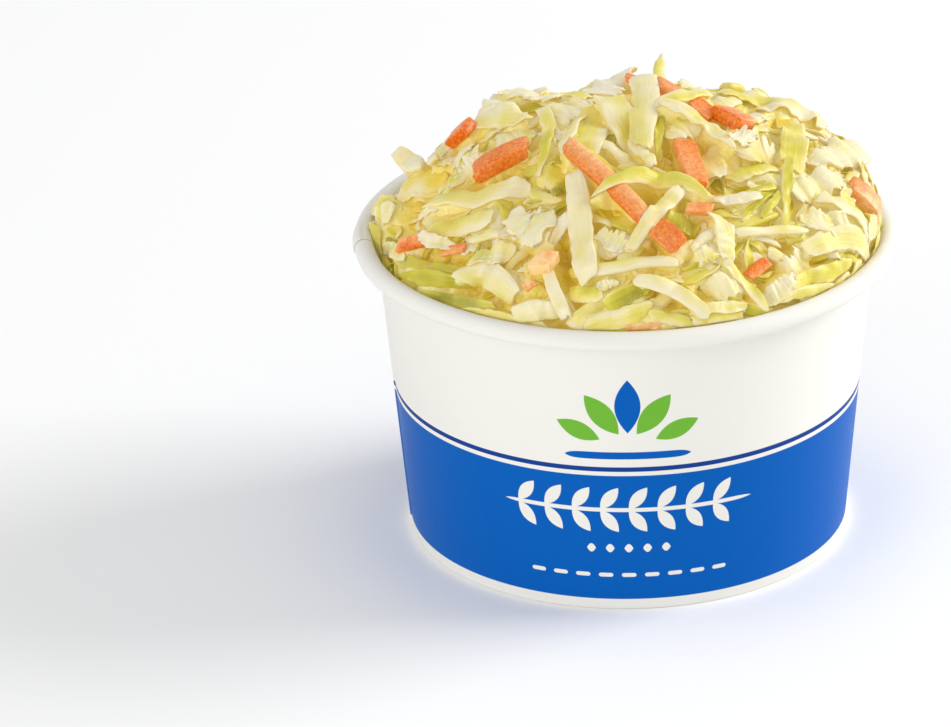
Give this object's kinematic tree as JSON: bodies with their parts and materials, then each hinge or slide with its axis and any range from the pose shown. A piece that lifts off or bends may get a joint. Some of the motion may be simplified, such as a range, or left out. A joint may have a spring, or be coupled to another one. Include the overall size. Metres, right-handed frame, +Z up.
{
  "type": "coleslaw in a paper cup",
  "caption": "Creamy coleslaw of shredded cabbage and carrot sticks, heaped above the rolled rim of a squat round paper food cup.",
  "frame": {"origin": "centre of the cup's foot, on the surface that it stands on", "axes": "+Z up along the cup's axis, -Y to the front of the print, +X to the right, where the heap is fullest"},
  "size_m": [0.1101, 0.11, 0.0994],
  "materials": {
    "cup_paper": "coated white board with a smooth soft sheen, printed with a blue band",
    "cabbage": "wet cream and pale green shreds under a thin glossy dressing",
    "carrot": "wet orange sticks with a thin film of dressing",
    "dressing": "cream, glossy where it is thick"
  },
  "bodies": {
    "root": {"cup_wall": "cup_paper", "cup_base": "cup_paper", "slaw": "cabbage"}
  },
  "joints": []
}
